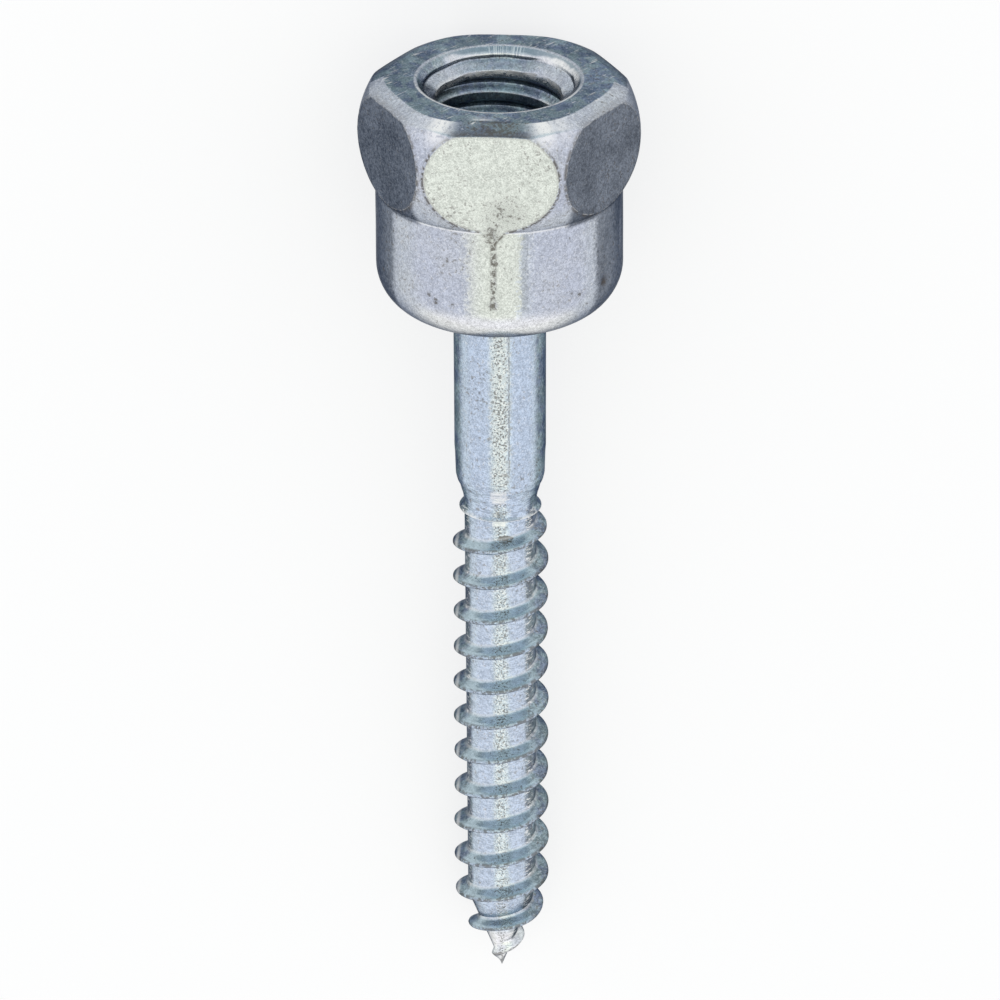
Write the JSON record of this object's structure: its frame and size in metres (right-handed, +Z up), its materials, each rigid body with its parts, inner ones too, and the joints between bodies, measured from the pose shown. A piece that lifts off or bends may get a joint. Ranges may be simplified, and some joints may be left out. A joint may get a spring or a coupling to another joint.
{
  "type": "threaded rod anchor",
  "caption": "One-piece steel anchor: a hexagonal head with a threaded socket for a hanging rod, a plain shank and a coarse timber thread with a sharp point.",
  "frame": {"origin": "on the floor, under the middle of the lying part's bounding box", "axes": "+Z up out of the floor; +Y from the point towards the head's open end, with the part's own axis leaning 6.1 degrees up from +Y; +X to the side. The hexagon's uppermost flat faces 4.0 degrees away from straight up, towards -X"},
  "size_m": [0.018, 0.0642, 0.0172],
  "materials": {
    "zinc_plate": "bright zinc plating, slightly mottled, with fine pits and scuffs"
  },
  "bodies": {
    "root": {"rod_anchor": "zinc_plate"}
  },
  "joints": []
}
